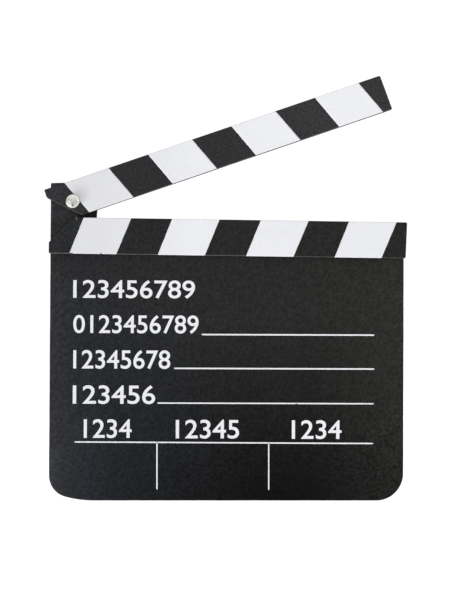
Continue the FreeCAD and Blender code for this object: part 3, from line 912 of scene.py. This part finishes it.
# ------------------------------------------------------------------ hinge hardware: stamped washers, locking nut and its ring
def turned_ring(name, prof, node, mat, hexagon=None, n=120):
    """A closed profile of (radius, y) swept round the pivot. hexagon: (across flats, turn) bounds the radius to a hexagon
    with slightly broken corners."""
    bm = bmesh.new()
    rows = []
    for r, y in prof:
        row = []
        for k in range(n):
            a = 2 * math.pi * k / n
            rr = r
            if hexagon:
                af, turn0 = hexagon
                d = ((math.degrees(a) - turn0) % 60.0) - 30.0
                flat = af / 2 / math.cos(math.radians(d))
                flat = min(flat, af / 2 / math.cos(math.radians(30)) - 0.09)
                rr = min(r, flat)
            row.append(bm.verts.new((PIV_X + rr * math.cos(a), y, PIV_Z + rr * math.sin(a))))
        rows.append(row)
    m = len(rows)
    for i in range(m):
        p, q = rows[i], rows[(i + 1) % m]
        for k in range(n):
            f = bm.faces.new((p[k], p[(k + 1) % n], q[(k + 1) % n], q[k]))
            f.smooth = True
    bmesh.ops.recalc_face_normals(bm, faces=bm.faces[:])
    for e in bm.edges:
        if len(e.link_faces) == 2 and e.calc_face_angle(0.0) > math.radians(24):
            e.smooth = False
    ob = new_piece(name, bm, "board", [mat])
    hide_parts(node)
    return ob


def corner(r, y, rad, a0, a1, k=5):
    """Arc of a profile's rounded corner about (r, y)."""
    return [(r + rad * math.cos(math.radians(a0 + (a1 - a0) * t / k)), y + rad * math.sin(math.radians(a0 + (a1 - a0) * t / k)))
            for t in range(k + 1)]


def washer(name, node, bore, rim, y0, y1, roll, burr, flip=False):
    """Stamped washer: the side the punch entered is rolled over, the other keeps a sharper edge."""
    a, b = (roll, burr) if flip else (burr, roll)
    prof = corner(rim - a, y0 + a, a, -90, 0) + corner(rim - b, y1 - b, b, 0, 90)
    prof += corner(bore + b * 0.6, y1 - b * 0.6, b * 0.6, 90, 180) + corner(bore + a * 0.6, y0 + a * 0.6, a * 0.6, 180, 270)
    return turned_ring(name, prof, node, M_ZINC)


washer("spacer_washer", "hinge_spacer", 2.15, 4.4, -2.5, -2.0, 0.16, 0.06, flip=True)
washer("back_washer", "rear_washer", 2.15, 4.5, 2.0, 2.8, 0.26, 0.08)

NUT_Y, NUT_AF, NUT_HEX, NUT_TOP = 2.8, 7.0, 3.4, 5.0
nut = [(2.02, NUT_Y + 0.3), (2.3, NUT_Y), (3.3, NUT_Y)]
nut += [(NUT_AF / 2 + 0.02 + 0.9 * t / 7, NUT_Y + 0.55 * t / 7) for t in range(8)]
nut += [(NUT_AF / 2 + 0.92, NUT_Y + 1.0 + 0.5 * t) for t in range(4)]
nut += [(NUT_AF / 2 + 0.92 - 0.9 * t / 7, NUT_Y + NUT_HEX - 0.55 + 0.55 * t / 7) for t in range(8)]
nut += [(3.34, NUT_Y + NUT_HEX), (3.26, NUT_Y + NUT_HEX + 0.06), (3.24, NUT_Y + NUT_HEX + 0.4)]
nut += corner(3.24 - 0.6, NUT_Y + NUT_TOP - 0.6, 0.6, 0, 90, 8)
nut += [(2.53, NUT_Y + NUT_TOP - 0.03), (2.46, NUT_Y + NUT_TOP - 0.12), (2.45, NUT_Y + NUT_TOP - 0.27)]
nut += [(2.74, NUT_Y + NUT_TOP - 0.28), (2.74, NUT_Y + NUT_TOP - 1.54), (2.02, NUT_Y + NUT_TOP - 1.55)]
turned_ring("lock_nut_m4", nut, "lock_nut", M_ZINC, hexagon=(NUT_AF, 12.0), n=180)

ring_top, ring_low = NUT_Y + NUT_TOP - 0.25, NUT_Y + NUT_TOP - 1.55
ring = [(2.74, ring_low + 0.02), (2.74, ring_top - 0.02), (2.44, ring_top - 0.02), (2.40, ring_top + 0.02), (2.26, ring_top + 0.05),
        (2.12, ring_top + 0.02), (2.03, ring_top - 0.08), (2.02, ring_low + 0.02)]
turned_ring("nut_ring", ring, "nut_locking_ring", M_NYLON)

# ------------------------------------------------------------------ floor, light, camera
floor_me = bpy.data.meshes.new("floor")
floor_me.from_pydata([(-4, -4, 0), (4, -4, 0), (4, 4, 0), (-4, 4, 0)], [], [(0, 1, 2, 3)])
floor = bpy.data.objects.new("floor", floor_me)
scene.collection.objects.link(floor)
fm = bpy.data.materials.new("floor_pale")
fm.use_nodes = True
fb = fm.node_tree.nodes["Principled BSDF"]
fb.inputs["Base Color"].default_value = (0.3, 0.3, 0.3, 1)
fb.inputs["Roughness"].default_value = 0.9
fb.inputs["Specular IOR Level"].default_value = 0.0
fb.inputs["Emission Color"].default_value = (1, 1, 1, 1)
fb.inputs["Emission Strength"].default_value = 0.97
floor_me.materials.append(fm)
floor.visible_shadow = False

world = bpy.data.worlds.new("studio")
scene.world = world
world.use_nodes = True
wt = world.node_tree
bg = wt.nodes["Background"]
bg.inputs["Color"].default_value = (1.0, 1.0, 1.0, 1)
# brighter towards the horizon than overhead
tc = wt.nodes.new("ShaderNodeTexCoord")
sep = wt.nodes.new("ShaderNodeSeparateXYZ")
sky = wt.nodes.new("ShaderNodeMapRange")
wt.links.new(tc.outputs["Generated"], sep.inputs[0])
wt.links.new(sep.outputs["Z"], sky.inputs["Value"])
sky.inputs["From Min"].default_value, sky.inputs["From Max"].default_value = 0.05, 0.85
sky.inputs["To Min"].default_value, sky.inputs["To Max"].default_value = 0.75, 0.18
wt.links.new(sky.outputs["Result"], bg.inputs["Strength"])
# polished metal mirrors a brighter, more even tent
bg3 = wt.nodes.new("ShaderNodeBackground")
bg3.inputs["Color"].default_value = (1.0, 0.99, 0.97, 1)
tent = wt.nodes.new("ShaderNodeMapRange")
wt.links.new(sep.outputs["Z"], tent.inputs["Value"])
tent.inputs["From Min"].default_value, tent.inputs["From Max"].default_value = 0.1, 0.7
tent.inputs["To Min"].default_value, tent.inputs["To Max"].default_value = 0.72, 1.0
wt.links.new(tent.outputs["Result"], bg3.inputs["Strength"])
bg2 = wt.nodes.new("ShaderNodeBackground")
bg2.inputs["Color"].default_value = (1, 1, 1, 1)
bg2.inputs["Strength"].default_value = 1.05
lp = wt.nodes.new("ShaderNodeLightPath")
mx = wt.nodes.new("ShaderNodeMixShader")
mg = wt.nodes.new("ShaderNodeMixShader")
wt.links.new(lp.outputs["Is Glossy Ray"], mg.inputs[0])
wt.links.new(bg.outputs[0], mg.inputs[1])
wt.links.new(bg3.outputs[0], mg.inputs[2])
wt.links.new(lp.outputs["Is Camera Ray"], mx.inputs[0])
wt.links.new(mg.outputs[0], mx.inputs[1])
wt.links.new(bg2.outputs[0], mx.inputs[2])
wt.links.new(mx.outputs[0], wt.nodes["World Output"].inputs["Surface"])


def area(name, loc, aim, size, power, color=(1, 1, 1)):
    la = bpy.data.lights.new(name, "AREA")
    la.shape = "DISK"
    la.size = size
    la.energy = power
    la.color = color
    ob = bpy.data.objects.new(name, la)
    ob.location = loc
    ob.rotation_euler = (Vector(aim) - Vector(loc)).to_track_quat("-Z", "Y").to_euler()
    ob.visible_camera = False
    scene.collection.objects.link(ob)
    return ob


area("key_low_left", (-0.739, -0.385, -0.411), (-0.02, 0.0, 0.13), 0.42, 3.0)
area("front_soft", (-0.45, -0.95, 0.05), (-0.02, 0.0, 0.13), 0.8, 1.86).visible_glossy = False
area("back_soft", (0.25, 1.2, 0.95), (0.0, 0.0, 0.12), 1.1, 9.0)
area("fill_right", (0.9, -1.1, 0.6), (0.05, 0.0, 0.12), 0.9, 1.4)

cam = bpy.data.cameras.new("photo_view")
cam_ob = bpy.data.objects.new("photo_view", cam)
scene.collection.objects.link(cam_ob)
cam.sensor_fit = "AUTO"
cam.sensor_width = 36.0
cam.lens = 36.0 * 1401.7 / 594.0
cam.clip_start, cam.clip_end = 0.01, 50.0
right = Vector((0.99938, -0.034896, 0.004641))
down = Vector((0.005247, 0.017275, -0.999837))
ahead = Vector((0.03481, 0.999242, 0.017447))
rot = Matrix((right, -down, -ahead)).transposed().to_4x4()
cam_ob.matrix_world = Matrix.Translation(Vector((-27.992, -786.756, 100.128)) * MM) @ rot
scene.camera = cam_ob

scene.view_settings.view_transform = "Standard"
scene.view_settings.look = "None"
scene.view_settings.exposure = 0.0
scene.view_settings.gamma = 1.0
